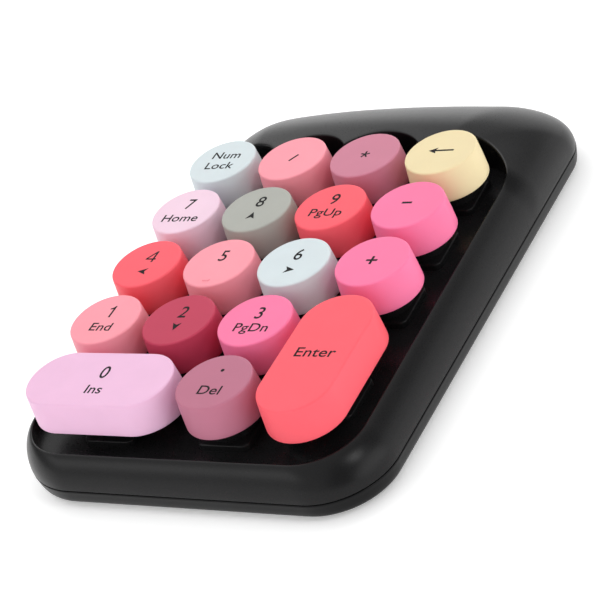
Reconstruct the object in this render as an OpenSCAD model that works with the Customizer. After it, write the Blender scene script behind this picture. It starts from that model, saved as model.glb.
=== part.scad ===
// Numeric keypad with round keys: 18 sprung keys in a well, a raised
// battery housing along the back edge, cordless.
// Millimetres. X to the right, Y to the back, Z up. The origin is on the
// surface that the keypad stands on, under the middle of the case.

/* [Keys] */
// Distance between the centres of neighbouring keys
pitch = 19.05; // [18.95:0.05:19.15]
// Radius of the flat top of a key
cap_flat_r = 7.84; // [7.6:0.01:7.9]
// Radius of a key at its lower edge
cap_base_r = 8.78; // [8.6:0.01:8.9]
// Height of a key from lower edge to top
cap_h = 7.7; // [7.5:0.1:7.8]
// Wall thickness of a key
cap_wall = 1.3; // [1.1:0.1:1.4]
// How far a key travels when it is pressed
travel = 3.5; // [2.8:0.1:3.5]
// Radius of the round stem under a key
stem_r = 3.45; // [3.4:0.01:3.47]

/* [Case] */
// Width of the case at its seam
case_w = 90.4; // [90:0.1:91]
// Length of the case at its seam, front to back
case_l = 129.8; // [129.4:0.1:130.4]
// Corner radius of the case at its seam
case_r = 15.2; // [14.8:0.1:15.6]
// Height of the seam between upper and lower case above the desk
seam_z = 5.0; // [4.8:0.1:5.2]
// Height of the underside above the desk
foot_h = 1.0; // [0.8:0.1:1.2]
// Wall thickness of the case
wall = 2.0; // [1.8:0.1:2.0]
// Backward slope of the key tops in degrees
tilt = 1.25; // [1.1:0.05:1.4]
// Height of the key tops above the desk at the front row
key_z = 23.0; // [22.9:0.1:23.2]
// Depth of the side rims below the key tops
rim_h = 10.3; // [10.2:0.1:10.5]
// Depth of the battery housing's front edge below the key tops
hump_h = 2.8; // [2.7:0.1:3.0]

/* [Battery] */
// Diameter of the cell
cell_d = 10.5; // [10:0.1:10.5]
// Length of the cell with its button
cell_l = 44.5; // [44:0.1:44.5]

/* [Hidden] */

e = 0.01;
fn = 96;
y_mid = 49.9;                       // key (0,0) to the middle of the case
kx0 = -1.5 * pitch;
hw = case_w / 2;
hl = case_l / 2;

// heights measured from the key tops, in key space
cap_bottom = -cap_h;
pad_top = -11.5;
pad_half = 6.2;
guide_top = -6.5;
guide_low = -12.9;
guide_or = 5.2;
guide_ir = stem_r + 0.08;
deck_top = -13.0;
deck_low = -14.4;
stem_low = -13.6;
sheet_top = -17.6;
sheet_low = -18.2;
film_low = -18.6;
plate_low = -19.1;

// well outline in key space
well_x0 = -11.4;
well_x1 = 3 * pitch + 11.4;
well_y0 = -11.6;
scallop_r = 12.0;

// rows and columns between keys that carry the plate's and case's screws
case_spots = [[0.5, 0.5], [2.5, 0.5], [0.5, 3.5], [2.5, 3.5]];
plate_spots = [[1.5, 0.5], [0.5, 1.5], [1.5, 1.5], [2.5, 1.5],
               [0.5, 2.5], [1.5, 2.5], [2.5, 2.5], [1.5, 3.5]];
deck_spots = [[0.5 * pitch, 88], [1.5 * pitch, 88], [2.5 * pitch, 88]];
rear_spots = [[-38, 47], [39.3, 43.4]];

board_spots = [[21.8, 55.9], [22.2, 50.4]];

// key centres: [column, row] of every single-width key
singles = [[0, 1], [1, 1], [2, 1], [0, 2], [1, 2], [2, 2], [3, 2],
           [0, 3], [1, 3], [2, 3], [3, 3], [0, 4], [1, 4], [2, 4], [3, 4],
           [2, 0]];
wide_0 = [0.5, 0];
wide_enter = [3, 0.5];

// battery bay
cell_y = 48.6;
cell_z = 3.05 + cell_d / 2;
cell_x1 = 16.5;
cell_x0 = cell_x1 - cell_l;
bay_x0 = cell_x0 - 4.7;
bay_x1 = 18.3;
bay_hy = cell_d / 2 + 1.05;
bay_top = 15.2;

// colours
black = [0.07, 0.07, 0.075];
gloss = [0.03, 0.03, 0.03];
steel = [0.75, 0.75, 0.77];

module key_space() {
  translate([kx0, -y_mid, key_z]) rotate([tilt, 0, 0]) children();
}
module at_key(k) { translate([k[0] * pitch, k[1] * pitch, 0]) children(); }

// thin rounded slab used as a section of the case, half width a, y0 to y1
module slab(x0, x1, y0, y1, r, z, f = 40) {
  for (x = [x0 + r, x1 - r], y = [y0 + r, y1 - r])
    translate([x, y, z]) cylinder(r = r, h = 0.02, $fn = f);
}
module rounded(x0, x1, y0, y1, r) {
  union() {
    translate([x0 + r, y0]) square([x1 - x0 - 2 * r, y1 - y0]);
    translate([x0, y0 + r]) square([x1 - x0, y1 - y0 - 2 * r]);
    for (x = [x0 + r, x1 - r], y = [y0 + r, y1 - r])
      translate([x, y]) circle(r = r, $fn = fn);
  }
}

// plan of the well: straight front and sides, scalloped back
module well_plan(g = 0) {
  intersection() {
    union() {
      rounded(well_x0 - g, well_x1 + g, well_y0 - g, 4 * pitch + 8,
              12.1 + g);
      translate([well_x0 - g, 20])
        square([well_x1 - well_x0 + 2 * g, 4 * pitch - 20]);
      for (c = [0:3]) translate([c * pitch, 4 * pitch])
        circle(r = scallop_r + g, $fn = fn);
    }
    translate([well_x0 - g, -40])
      square([well_x1 - well_x0 + 2 * g, 200]);
    union() {
      translate([-40, -40]) square([200, 40 + 4 * pitch]);
      for (c = [0:3]) translate([c * pitch, 4 * pitch])
        circle(r = scallop_r + g, $fn = fn);
    }
  }
}

// outer form of the upper case: steps down the side wall, t from rim to seam
module wall_step(t, in = 0) {
  fx = 5.0 * sin(t);
  fy = 3.5 * sin(t);
  h = -rim_h - 8.0 * (1 - cos(t));
  slab(well_x0 - fx - 0.2 + in, well_x1 + fx + 0.2 - in,
       well_y0 - fy - 0.2 + in, 101 + 13.4 * sin(t) * sin(t) - 1.4 * in,
       12.1 + 0.25 * fx - 0.5 * in, min(h, in > 0 ? deck_top - 0.02 : 0));
}
module body_form(in = 0) {
  hull() {
    translate([0, 0, in > 0 ? -0.5 : 0])
      slab(-hw + in, hw - in, -hl + in, hl - in, case_r - in, seam_z);
    key_space() {
      if (in == 0) { wall_step(0); wall_step(18); wall_step(36);
                     wall_step(54); }
      if (in > 0) wall_step(47, in);
      wall_step(72, in);
    }
  }
}
// sections of the raised back: [depth, half width, front y, back y]
hump_steps = [
  [hump_h, 32, 87, 90.5], [hump_h + 0.5, 34.5, 85, 95.5],
  [hump_h + 2.1, 37.4, 81.5, 101.5], [7, 41, 79, 105],
  [10.5, 42.8, 74, 108.5], [15, 44.0, 70, 111.6]];
module hump_form(in = 0) {
  hull() {
    translate([0, 0, in > 0 ? -0.7 : 0])
      slab(-hw + in * 1.1 + 0.8, hw - in * 1.1 - 0.8, 14 + in,
           hl - in * 1.1 - 0.8, case_r - in - 0.8, seam_z + 0.01);
    key_space() translate([-kx0, 0, 0])
      for (s = hump_steps)
        translate([0, 0, -in])
          slab(-s[1] + in * 0.8, s[1] - in * 0.8, s[2] - in * 2,
               s[3] - in * 0.6,
               min(case_r - 1.2 * in, (s[3] - s[2]) / 2 - 0.1 + in * 0.6),
               -s[0]);
  }
}

module top_case() color(black) difference() {
  union() {
    difference() {
      union() { body_form(); hump_form(); }
      body_form(wall);
      difference() {
        hump_form(wall);
        key_space() translate([0, 0, deck_top])
          linear_extrude(30) well_plan(2);
      }
      key_space() translate([0, 0, deck_top - 30])
        linear_extrude(60) well_plan(0);
    }
    // screw posts, from under the housing's roof
    intersection() {
      hump_form(0.6);
      union() {
        key_space() for (p = deck_spots) translate([p[0], p[1], deck_top])
          cylinder(r = 2.6, h = 12, $fn = fn);
        for (p = rear_spots) translate([p[0], p[1], foot_h + 1.9])
          cylinder(r = 2.5, h = 20, $fn = fn);
      }
    }
  }
  key_space() for (p = deck_spots) translate([p[0], p[1], deck_top - e])
    cylinder(r = 0.95, h = 5, $fn = 24);
  for (p = rear_spots) translate([p[0], p[1], 0])
    cylinder(r = 1.1, h = 10, $fn = 24);
  // upright mouth for the lip of the lower case
  translate([0, 0, seam_z - 1]) linear_extrude(2.4)
    rounded(-hw + wall - 0.06, hw - wall + 0.06, -hl + wall - 0.06,
            hl - wall + 0.06, case_r - wall + 0.06);
  // room behind for the receiver pocket
  translate([0, 0, seam_z]) linear_extrude(2.65)
    rounded(-hw + wall + 0.7, hw - wall - 0.7, 0, hl - wall - 0.5,
            case_r - wall - 0.8);
  // sockets for the hooks at the front
  for (x = [-24, 0, 24]) translate([x - 4.2, -hl + wall - 0.55, seam_z + 0.3])
    cube([8.4, 0.7, 0.8]);
}

module stem_ways(r, half, low, high) {
  translate([0, 0, low]) cylinder(r = r, h = high - low, $fn = fn);
  translate([-half, -0.7, low]) cube([2 * half, 1.4, high - low]);
}
module wide_hooks(dx, a) {
  // two upright ears with a round hole for the stabiliser bar
  rotate([0, 0, a])
    for (s = [-1, 1]) translate([s * dx - 0.8, 3.9, deck_top])
      difference() {
        cube([1.6, 2.65, 3.3]);
        translate([-1, 1.5, 2.0]) rotate([0, 90, 0])
          cylinder(r = 0.66, h = 4, $fn = 32);
      }
}
module key_deck() color(gloss) key_space() difference() {
  union() {
    translate([0, 0, deck_low]) linear_extrude(deck_top - deck_low)
      rounded(well_x0 - 1.6, well_x1 + 1.6, well_y0 - 0.7, 90.3, 12.5);
    for (k = concat(singles, [wide_0, wide_enter])) at_key(k) {
      translate([0, 0, deck_top - e]) linear_extrude(pad_top - deck_top + e)
        rounded(-pad_half, pad_half, -pad_half, pad_half, 1.6);
      translate([0, 0, pad_top - e])
        cylinder(r = guide_or, h = guide_top - pad_top + e, $fn = fn);
    }
    at_key(wide_0) wide_hooks(10.5, 0);
    at_key(wide_enter) wide_hooks(10.5, 90);
    for (s = case_spots) at_key(s) translate([0, 0, film_low])
      cylinder(r = 2.4, h = deck_low - film_low + e, $fn = fn);
    for (s = plate_spots) at_key(s) translate([0, 0, film_low])
      cylinder(r = 1.9, h = deck_low - film_low + e, $fn = fn);
  }
  for (k = concat(singles, [wide_0, wide_enter])) at_key(k) {
    stem_ways(guide_ir, 4.4, guide_low - 2, guide_top + 1);
    translate([0, 0, deck_low - 1])
      cylinder(r = 5.6, h = guide_low - deck_low + 1, $fn = fn);
  }
  // channels beside the wide keys' guides for the stabiliser bars
  at_key(wide_0) translate([-8, 4.65, pad_top - 0.25]) cube([16, 1.7, 1.55]);
  at_key(wide_enter) rotate([0, 0, 90])
    translate([-8, 4.65, pad_top - 0.25]) cube([16, 1.7, 1.55]);
  for (s = case_spots) at_key(s) translate([0, 0, film_low - 1])
    cylinder(r = 1.1, h = 5.6, $fn = 24);
  for (s = plate_spots) at_key(s) translate([0, 0, film_low - 1])
    cylinder(r = 0.7, h = 4.6, $fn = 24);
  for (p = deck_spots) translate([p[0], p[1], deck_low - 1])
    cylinder(r = 1.15, h = 4, $fn = 24);
}

// keys ------------------------------------------------------------------
cap_in_top = -1.6;
function cap_profile() = concat(
  [[0, 0]],
  [for (a = [0:22.5:90]) [cap_flat_r + 0.4 * sin(a), -0.4 * (1 - cos(a))]],
  [[cap_base_r, cap_bottom], [cap_base_r - cap_wall, cap_bottom],
   [cap_flat_r - cap_wall + 0.35, cap_in_top - 0.4],
   [cap_flat_r - cap_wall - 0.05, cap_in_top], [0, cap_in_top]]);
function mirrored(p) = concat(p, [for (i = [len(p) - 1:-1:0])
  if (p[i][0] > 0) [-p[i][0], p[i][1]]]);
module stem() {
  difference() {
    union() {
      translate([0, 0, stem_low])
        cylinder(r = stem_r, h = cap_in_top + 0.5 - stem_low, $fn = fn);
      translate([-4.25, -0.6, -12.7]) cube([8.5, 1.2, 11.6]);
      translate([-0.8, -3.9, stem_low]) cube([1.6, 7.8, 0.6]);
    }
    translate([0, 0, stem_low - 1]) cylinder(r = 1.6, h = 7, $fn = 32);
  }
}
module round_key(k, tint) color(tint) key_space() at_key(k) union() {
  rotate_extrude($fn = fn) polygon(cap_profile());
  stem();
}
// a key two pitches long, its long axis turned by a
module long_key(k, a, tint) color(tint) key_space() at_key(k) union() {
  rotate([0, 0, a]) union() {
    difference() {
      union() {
        for (s = [-1, 1]) translate([s * pitch / 2, 0, 0])
          rotate_extrude($fn = fn)
            polygon(concat([[0, 0]], [for (i = [1:7]) cap_profile()[i]],
                           [[0, cap_bottom]]));
        translate([-pitch / 2, 0, 0]) rotate([90, 0, 90])
          linear_extrude(pitch)
            polygon(concat([for (i = [1:6]) cap_profile()[i]],
              [for (i = [6:-1:1]) [-cap_profile()[i][0], cap_profile()[i][1]]]));
      }
      for (s = [-1, 1]) translate([s * pitch / 2, 0, cap_bottom - 1])
        cylinder(r = cap_flat_r - cap_wall + 0.3,
                 h = cap_in_top - cap_bottom + 1, $fn = fn);
      translate([-pitch / 2, -(cap_flat_r - cap_wall + 0.3), cap_bottom - 1])
        cube([pitch, 2 * (cap_flat_r - cap_wall + 0.3),
              cap_in_top - cap_bottom + 1]);
    }
    // lugs that take the ends of the stabiliser bar
    for (s = [-1, 1]) translate([s * 11.5 - 0.7, -4.6, -8.5]) difference() {
      cube([1.4, 3.2, 7.4]);
      translate([-1, 0.5, 0.25]) cube([4, 3.8, 1.55]);
    }
  }
  stem();
}
module key_0() long_key(wide_0, 0, [0.94, 0.76, 0.9]);
module key_enter() long_key(wide_enter, 90, [0.98, 0.36, 0.38]);
module key_decimal() round_key([2, 0], [0.62, 0.38, 0.47]);
module key_1() round_key([0, 1], [0.97, 0.6, 0.65]);
module key_2() round_key([1, 1], [0.75, 0.28, 0.36]);
module key_3() round_key([2, 1], [0.97, 0.47, 0.65]);
module key_4() round_key([0, 2], [0.97, 0.4, 0.44]);
module key_5() round_key([1, 2], [0.97, 0.6, 0.65]);
module key_6() round_key([2, 2], [0.82, 0.9, 0.94]);
module key_plus() round_key([3, 2], [0.97, 0.47, 0.62]);
module key_7() round_key([0, 3], [0.93, 0.8, 0.9]);
module key_8() round_key([1, 3], [0.6, 0.6, 0.56]);
module key_9() round_key([2, 3], [0.97, 0.38, 0.42]);
module key_minus() round_key([3, 3], [0.97, 0.45, 0.66]);
module key_num_lock() round_key([0, 4], [0.8, 0.88, 0.92]);
module key_divide() round_key([1, 4], [0.97, 0.58, 0.63]);
module key_multiply() round_key([2, 4], [0.75, 0.42, 0.53]);
module key_backspace() round_key([3, 4], [0.94, 0.86, 0.66]);

// stabiliser bars under the two long keys -------------------------------
bar_r = 0.6;
bar_h = deck_top + 2.0;              // height of the bar's pivot
bar_y = 5.4;
bar_arm = 8.3;
bar_up = asin(travel / bar_arm);
bend_r = 1.4;
// wire bent in one plane: the long bar, an arm at each end, ends turned in
module wire_half() {
  translate([0, 0, 0]) rotate([0, 90, 0])
    cylinder(r = bar_r, h = 13 - bend_r, $fn = 32);
  translate([13 - bend_r, -bend_r, 0]) rotate_extrude(angle = 90, $fn = 48)
    translate([bend_r, 0]) circle(r = bar_r, $fn = 32);
  translate([13, -bend_r, 0]) rotate([90, 0, 0])
    cylinder(r = bar_r, h = bar_arm - 2 * bend_r, $fn = 32);
  translate([13 - bend_r, bend_r - bar_arm, 0]) rotate([0, 0, -90])
    rotate_extrude(angle = 90, $fn = 48)
      translate([bend_r, 0]) circle(r = bar_r, $fn = 32);
  translate([10.2, -bar_arm, 0]) rotate([0, 90, 0])
    cylinder(r = bar_r, h = 2.8 - bend_r, $fn = 32);
}
module stabiliser_bar(k, a) color(steel) key_space() at_key(k)
  rotate([0, 0, a]) translate([0, bar_y, bar_h]) rotate([-bar_up, 0, 0])
    union() {
      wire_half();
      mirror([1, 0, 0]) wire_half();
    }
module stabiliser_bar_0() stabiliser_bar(wide_0, 0);
module stabiliser_bar_enter() stabiliser_bar(wide_enter, 90);

// rubber domes, contact films and the steel plate under them ------------
module stack_plan() rounded(-9.6, 3 * pitch + 9.6, -10.2, 88, 6);
module post_holes(r) {
  for (s = concat(case_spots, plate_spots)) at_key(s)
    translate([0, 0, -25]) cylinder(r = r, h = 20, $fn = 32);
}
module dome() rotate_extrude($fn = 48) polygon([
  [5.4, sheet_low], [5.4, sheet_top], [5.1, -16.9], [3.3, -14.9],
  [2.5, -14.4], [2.5, stem_low - 0.05], [0, stem_low - 0.05],
  [0, -16.4], [1.3, -16.4], [1.3, -15.0], [2.3, -15.0], [2.8, -15.2],
  [4.5, -17.0], [4.8, sheet_low]]);
module dome_sheet() color([0.86, 0.86, 0.84]) key_space() union() {
  difference() {
    translate([0, 0, sheet_low]) linear_extrude(sheet_top - sheet_low)
      stack_plan();
    post_holes(2.7);
    for (k = concat(singles, [wide_0, wide_enter])) at_key(k)
      translate([0, 0, -25]) cylinder(r = 5.1, h = 20, $fn = 48);
  }
  for (k = concat(singles, [wide_0, wide_enter])) at_key(k) dome();
}
tail_x0 = 23;
tail_x1 = 33;
board_z = 11.0;
board_t = 1.0;
module membrane_sheet() color([0.55, 0.65, 0.6]) union() {
  key_space() difference() {
    translate([0, 0, film_low]) linear_extrude(sheet_low - film_low)
      union() {
        stack_plan();
        translate([tail_x0 - kx0, 80]) square([tail_x1 - tail_x0, 11.15]);
      }
    post_holes(2.7);
  }
  // tail, up behind the deck and back over the circuit board
  translate([tail_x0, 0, 0]) rotate([90, 0, 90])
    linear_extrude(tail_x1 - tail_x0) polygon([
      [41.1, 6.55], [41.5, 6.55], [41.5, board_z + board_t],
      [47, board_z + board_t], [47, board_z + board_t + 0.35],
      [41.25, board_z + board_t + 0.35], [41.1, board_z + board_t]]);
}
module backing_plate() color([0.7, 0.72, 0.74]) key_space() difference() {
  translate([0, 0, plate_low]) linear_extrude(film_low - plate_low)
    stack_plan();
  for (s = case_spots) at_key(s) translate([0, 0, -25])
    cylinder(r = 1.4, h = 20, $fn = 32);
  for (s = plate_spots) at_key(s) translate([0, 0, -25])
    cylinder(r = 0.95, h = 20, $fn = 32);
}

// lower case ------------------------------------------------------------
floor_t = 1.8;
floor_z = foot_h + floor_t;
door_x0 = bay_x0 + 0.5;
door_x1 = 35.3;
door_y0 = 42.8;
door_y1 = 61.0;
feet = [[-36, -54], [36, -54], [-36, 33], [36, 33]];
foot_r = 4.5;
knob_x = 38.0;
knob_y = 51.5;
pocket_x0 = 20.2;
pocket_x1 = 34.8;
rx_y0 = 42.9;
rx_y1 = 60.9;
module bottom_case() color(black) difference() {
  union() {
    difference() {
      hull() {
        slab(-hw + 1.5, hw - 1.5, -hl + 1.5, hl - 1.5, case_r - 1.2, foot_h);
        slab(-hw + 0.6, hw - 0.6, -hl + 0.6, hl - 0.6, case_r - 0.4,
             foot_h + 0.7);
        slab(-hw, hw, -hl, hl, case_r, seam_z - 0.02);
      }
      translate([0, 0, floor_z]) linear_extrude(20)
        rounded(-hw + wall + 0.9, hw - wall - 0.9, -hl + wall + 0.9,
                hl - wall - 0.9, case_r - wall - 0.9);
    }
    // lip that stands inside the upper case
    translate([0, 0, seam_z - 1]) linear_extrude(2.1) difference() {
      rounded(-hw + wall + 0.25, hw - wall - 0.25, -hl + wall + 0.25,
              hl - wall - 0.25, case_r - wall);
      rounded(-hw + wall + 1.1, hw - wall - 1.1, -hl + wall + 1.1,
              hl - wall - 1.1, case_r - wall - 0.9);
    }
    // hooks at the front
    for (x = [-24, 0, 24]) translate([x - 4, -hl + wall - 0.25, seam_z + 0.4])
      cube([8, 0.7, 0.6]);
    // battery bay
    difference() {
      translate([bay_x0, cell_y - bay_hy, floor_z - e])
        cube([bay_x1 - bay_x0, 2 * bay_hy, bay_top - floor_z]);
      translate([bay_x0 + 1, cell_y - bay_hy + 0.9, 0])
        cube([bay_x1 - bay_x0 - 2, 2 * bay_hy - 1.8, bay_top - 1]);
      translate([bay_x0 - 1, cell_y + bay_hy - 1.6, bay_top - 1.1])
        cube([4.6, 3, 3]);
      // ways out for the two contact tabs
      translate([bay_x0 - 1, cell_y - 2.2, 12.6]) cube([3, 4.4, 4]);
      translate([bay_x1 - 2, cell_y - 2.2, 12.6]) cube([3, 4.4, 4]);
    }
    // receiver pocket, its roof carries the circuit board
    difference() {
      // steps down towards the back, under the slope of the upper case
      for (b = [[15.0, board_z], [18.3, 9.4], [19.8, 7.5]])
        translate([pocket_x0 - 0.9, door_y0 - 1, floor_z - e])
          cube([pocket_x1 - pocket_x0 + 1.8, b[0], b[1] - floor_z + e]);
      translate([pocket_x0, rx_y0 - 0.1, 0])
        cube([pocket_x1 - pocket_x0, rx_y1 - rx_y0 + 0.2, 8.75]);
      translate([pocket_x0, rx_y0 - 0.1, 0])
        cube([pocket_x1 - pocket_x0, 13.1, board_z - 1.2]);
      translate([33.9, rx_y1 - 1.5, seam_z - 0.3]) cube([3, 4, 10]);
    }
    // shelf that closes the bay behind the cell and beside the pocket
    translate([bay_x0, cell_y + bay_hy - 0.9, floor_z - e])
      cube([pocket_x0 - bay_x0 - 0.4, door_y1 + 0.9 - cell_y - bay_hy + 0.9, 1]);
    translate([bay_x1 - 0.9, door_y0 - 0.5, floor_z - e])
      cube([pocket_x0 - bay_x1 + 0.5, 18, 1]);
    // posts between the keys, from the floor up to the steel plate
    intersection() {
      key_space() for (s = case_spots) at_key(s)
        translate([0, 0, plate_low - 6]) cylinder(r = 2.6, h = 6, $fn = fn);
      translate([-60, -80, floor_z - 0.5]) cube([120, 160, 20]);
    }
  }
  // opening for the battery door
  translate([door_x0, door_y0, 0]) linear_extrude(floor_z)
    rounded(0, door_x1 - door_x0, 0, door_y1 - door_y0, 2);
  // recesses for the feet
  for (f = feet) translate([f[0], f[1], foot_h - 1])
    cylinder(r = foot_r + 0.05, h = 1.6, $fn = fn);
  // countersunk ways for the case screws
  key_space() for (s = case_spots) at_key(s) {
    translate([0, 0, -30]) cylinder(r = 1.3, h = 20, $fn = 32);
    translate([0, 0, -30]) cylinder(r = 2.3, h = 8.95 - s[1] * 0.42, $fn = fn);
  }
  for (p = rear_spots) {
    translate([p[0], p[1], 0]) cylinder(r = 1.3, h = 10, $fn = 32);
    translate([p[0], p[1], 0]) cylinder(r = 2.3, h = foot_h + 0.9, $fn = fn);
  }
  // way and recess for the power switch
  translate([knob_x - 2.1, knob_y - 4.2, foot_h - e]) cube([4.2, 6.4, 0.8]);
  translate([knob_x - 1.3, knob_y - 3.2, 0]) cube([2.6, 4.4, 8]);
  // blank plate area on the underside
  translate([-24, -14, foot_h - e]) cube([48, 22, 0.25]);
  // holes for the board screws
  for (p = board_spots) translate([p[0], p[1], board_z - 1.2 - e])
    cylinder(r = 0.8, h = 3, $fn = 24);
}
module battery_door() color(black) difference() {
  union() {
    translate([door_x0, door_y0, foot_h]) linear_extrude(floor_t - 0.2)
      rounded(0.15, door_x1 - door_x0 - 0.15, 0.15,
              door_y1 - door_y0 - 0.15, 1.85);
    // ribs that stiffen the door
    for (y = [45.2, 51.4]) translate([door_x0 + 8, y, foot_h + floor_t - 0.3])
      cube([34, 0.8, 0.8]);
  }
  // finger notch with three grip grooves
  for (i = [0:2]) translate([-4, door_y0 + 2 + i * 1.6, foot_h - 0.4])
    cube([12, 0.8, 0.8]);
}

// electronics -----------------------------------------------------------
module circuit_board() color([0.08, 0.3, 0.16])
  translate([0, 0, board_z]) difference() {
    linear_extrude(board_t) polygon([[19.5, 43.5], [36.6, 43.5],
      [36.4, 46.1], [39.8, 46.1], [39.8, 51.5], [33.5, 57.2], [19.5, 57.2]]);
    for (p = board_spots) translate([p[0], p[1], -1])
      cylinder(r = 0.9, h = 4, $fn = 24);
  }
module control_chip() color([0.1, 0.1, 0.1])
  translate([25.5, 49.6, board_z + board_t]) cube([5.2, 5.2, 1.2]);
module radio_crystal() color(steel)
  translate([33.4, 49.8, board_z + board_t]) union() {
    cube([2.4, 3.0, 0.9]);
  }
module board_parts() color([0.75, 0.68, 0.5])
  for (p = [[24.0, 55.4], [26.0, 55.4], [28.0, 55.4], [30.0, 55.4],
            [32.2, 53.9], [32.4, 48.4], [24.2, 48.2], [36.8, 48.6]])
    translate([p[0], p[1], board_z + board_t]) cube([1.2, 0.7, 0.6]);
module tail_clamp() color(black)
  translate([tail_x0 - 3, 44.6, board_z + board_t]) difference() {
    cube([tail_x1 - tail_x0 + 5, 2.2, 1.6]);
    translate([2.9, -1, -e]) cube([tail_x1 - tail_x0 + 0.2, 5, 0.36]);
  }
module power_switch_body() color([0.8, 0.8, 0.82])
  translate([knob_x - 1.6, knob_y - 5.1, board_z - 3.6]) difference() {
    cube([3.2, 5.2, 3.6]);
    translate([0.9, 0.6, -1]) cube([1.4, 4.0, 2.0]);
  }
module power_switch_lever() color([0.12, 0.12, 0.12])
  translate([knob_x - 0.6, knob_y - 4.3, 4.2]) cube([1.2, 1.4, 4.0]);
module power_switch_knob() color([0.16, 0.16, 0.17]) difference() {
  union() {
    translate([knob_x - 1.6, knob_y - 3.8, foot_h + 0.1]) cube([3.2, 3.0, 0.65]);
    translate([knob_x - 1.1, knob_y - 3.0, foot_h + 0.3]) cube([2.2, 1.8, 3]);
    translate([knob_x - 1.7, knob_y - 5.0, floor_z + 0.08]) cube([3.4, 4.4, 2.4]);
  }
  translate([knob_x - 0.7, knob_y - 4.4, 3.9]) cube([1.4, 1.6, 3]);
}

module battery_cell() color([0.2, 0.35, 0.55])
  translate([cell_x0, cell_y, cell_z]) rotate([0, 90, 0]) union() {
    cylinder(r = cell_d / 2, h = cell_l - 1.1, $fn = fn);
    cylinder(r = 1.9, h = cell_l, $fn = 48);
  }
module positive_contact() color(steel) union() {
  translate([cell_x1, cell_y - 3.5, 4.2]) cube([0.3, 7, 8.5]);
  translate([cell_x1, cell_y - 1.8, 12.5]) cube([0.3, 3.6, 0.7]);
  translate([cell_x1, cell_y - 1.8, 12.9]) cube([3.7, 3.6, 0.3]);
  translate([19.9, cell_y - 1.8, board_z + board_t])
    cube([0.3, 3.6, 13.2 - board_z - board_t]);
}
spring_turns = 3;
spring_x0 = bay_x0 + 1.45;
function spring_at(t) = let (a = 360 * spring_turns * t,
  r = 3.6 - 1.6 * t)
  [spring_x0 + (cell_x0 - 0.35 - spring_x0) * t, cell_y + r * cos(a),
   cell_z + r * sin(a)];
// tube of radius r swept along the points p, n sides
function unit(v) = v / norm(v);
function tangent(p, i) = unit(p[min(i + 1, len(p) - 1)] - p[max(i - 1, 0)]);
function ring(p, i, r, n, up) = let (t = tangent(p, i),
  s = unit(cross(t, up)), u = cross(s, t))
  [for (k = [0:n - 1]) p[i] + r * (cos(360 * k / n) * s
   + sin(360 * k / n) * u)];
module tube(p, r, n, up) {
  m = len(p);
  polyhedron(
    points = [for (i = [0:m - 1]) each ring(p, i, r, n, up)],
    faces = concat([[for (k = [n - 1:-1:0]) k]],
      [for (i = [0:m - 2], k = [0:n - 1])
        [i * n + k, i * n + (k + 1) % n, (i + 1) * n + (k + 1) % n,
         (i + 1) * n + k]],
      [[for (k = [0:n - 1]) (m - 1) * n + k]]));
}
module negative_contact() color(steel) union() {
  translate([bay_x0 + 1, cell_y - 4.2, 3.6]) cube([0.3, 8.4, 9.1]);
  translate([bay_x0 + 1, cell_y - 1.8, 12.5]) cube([0.3, 3.6, 3.2]);
  tube([for (i = [0:48]) spring_at(i / 48)], 0.3, 8, [1, 0, 0]);
}
// insulated lead from the negative contact to the circuit board
lead_path = [[-31.3, 48.6, 16.3], [-29, 48.6, 16.4], [-24, 48.2, 16.3],
  [-16, 47.6, 16.2], [-8, 47.8, 16.2], [0, 48.4, 16.2], [8, 48.6, 16.2],
  [14, 49.6, 16.3], [18, 51.2, 16.3], [20.6, 52.4, 15.6],
  [21.8, 52.9, 14.4], [22.2, 53, 13.2], [22.2, 53, 12.02]];
module battery_lead() color([0.15, 0.15, 0.15])
  tube(lead_path, 0.55, 10, [0, 1, 0]);

module usb_receiver_body() color([0.09, 0.09, 0.09]) union() {
  translate([20.35, rx_y0, 3.15]) cube([14.3, 6.0, 6.3]);
}
module usb_receiver_plug() color(steel) difference() {
  translate([21.5, rx_y0 + 6.0, 4.05]) cube([12.0, 11.8, 4.5]);
  translate([21.8, rx_y0 + 7.2, 6.15]) cube([11.4, 12.2, 2.1]);
}

// feet and fasteners ----------------------------------------------------
module rubber_feet() color([0.12, 0.12, 0.12])
  for (f = feet) translate([f[0], f[1], 0]) union() {
    cylinder(r1 = foot_r - 0.5, r2 = foot_r, h = 0.5, $fn = fn);
    translate([0, 0, 0.5]) cylinder(r = foot_r, h = foot_h + 0.1, $fn = fn);
  }
module screw(shank_r, shank_l, head_r, head_h) {
  // head below, shank upwards from the head's inner face at z = 0
  difference() {
    union() {
      cylinder(r = shank_r, h = shank_l, $fn = 24);
      translate([0, 0, -head_h]) cylinder(r = head_r, h = head_h, $fn = 48);
    }
    for (a = [0, 90]) rotate([0, 0, a])
      translate([-head_r * 0.55, -head_r * 0.11, -head_h - 1])
        cube([head_r * 1.1, head_r * 0.22, 1 + head_h * 0.5]);
  }
}
module case_screws() color(steel) {
  key_space() for (s = case_spots) at_key(s)
    translate([0, 0, -21.05 - s[1] * 0.42]) screw(1.1, 5.4 + s[1] * 0.42, 2.1, 0.8);
  for (p = rear_spots) translate([p[0], p[1], foot_h + 0.9])
    screw(1.1, 7.6, 2.1, 0.8);
}
module deck_screws() color(steel) key_space()
  for (p = deck_spots) translate([p[0], p[1], deck_low])
    screw(0.95, 5.6, 1.9, 0.9);
module plate_screws() color(steel) key_space()
  for (s = plate_spots) at_key(s) translate([0, 0, plate_low])
    screw(0.7, 3.6, 1.6, 0.5);
module board_screws() color(steel)
  for (p = board_spots)
    translate([p[0], p[1], board_z + board_t]) mirror([0, 0, 1])
      screw(0.8, 2.1, 1.5, 0.7);

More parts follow.
